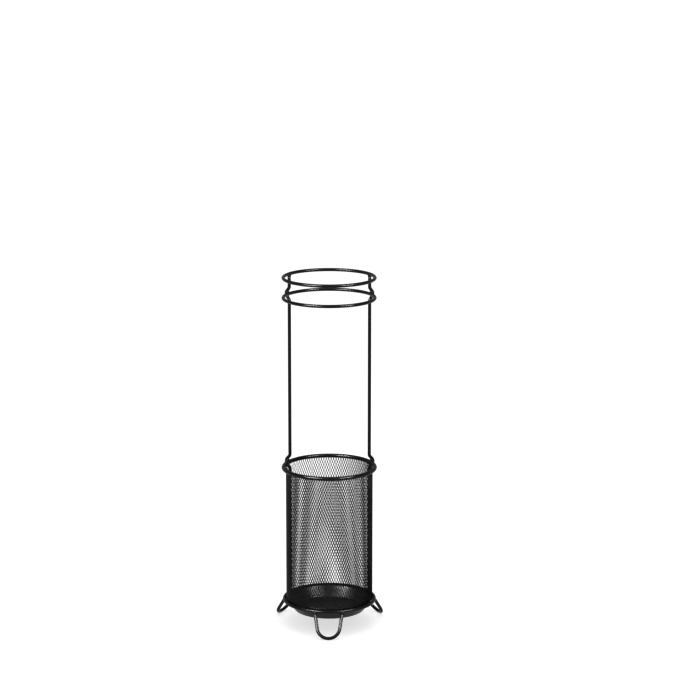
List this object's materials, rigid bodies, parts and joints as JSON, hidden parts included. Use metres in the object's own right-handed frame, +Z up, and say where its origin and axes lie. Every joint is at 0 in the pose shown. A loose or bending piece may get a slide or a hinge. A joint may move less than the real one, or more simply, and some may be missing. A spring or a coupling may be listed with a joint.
{
  "type": "umbrella stand",
  "caption": "Free-standing wire umbrella stand: hoops on posts above an expanded-metal basket with a drip pan, on bent wire feet.",
  "frame": {"origin": "on the floor, under the middle of the stand's plan box; the hoops, basket and pan share an upright axis at X = 0, Y = +0.0094 m, because the front foot reaches further out than anything does at the back", "axes": "+Z up; +X to the right as seen from the front; -Y towards the front foot, with both posts on the +Y side"},
  "size_m": [0.168, 0.1661, 0.55],
  "materials": {
    "powder_coat": "satin black powder coat on steel wire",
    "wall_coat": "satin black powder coat on expanded steel sheet",
    "pan_coat": "semi-gloss black powder coat on pressed steel sheet"
  },
  "bodies": {
    "root": {"upper_hoop": "powder_coat", "lower_hoop": "powder_coat", "rim_ring": "powder_coat", "base_ring": "powder_coat", "left_post": "powder_coat", "right_post": "powder_coat", "front_foot": "powder_coat", "left_foot": "powder_coat", "right_foot": "powder_coat", "mesh_wall": "wall_coat", "drip_pan": "pan_coat", "weld_upper_hoop_left_post": "powder_coat", "weld_lower_hoop_left_post": "powder_coat", "weld_rim_ring_left_post": "powder_coat", "weld_base_ring_left_post": "powder_coat", "weld_upper_hoop_right_post": "powder_coat", "weld_lower_hoop_right_post": "powder_coat", "weld_rim_ring_right_post": "powder_coat", "weld_base_ring_right_post": "powder_coat", "weld_front_foot_first_leg": "powder_coat", "weld_front_foot_second_leg": "powder_coat", "weld_left_foot_first_leg": "powder_coat", "weld_left_foot_second_leg": "powder_coat", "weld_right_foot_first_leg": "powder_coat", "weld_right_foot_second_leg": "powder_coat"}
  },
  "joints": []
}
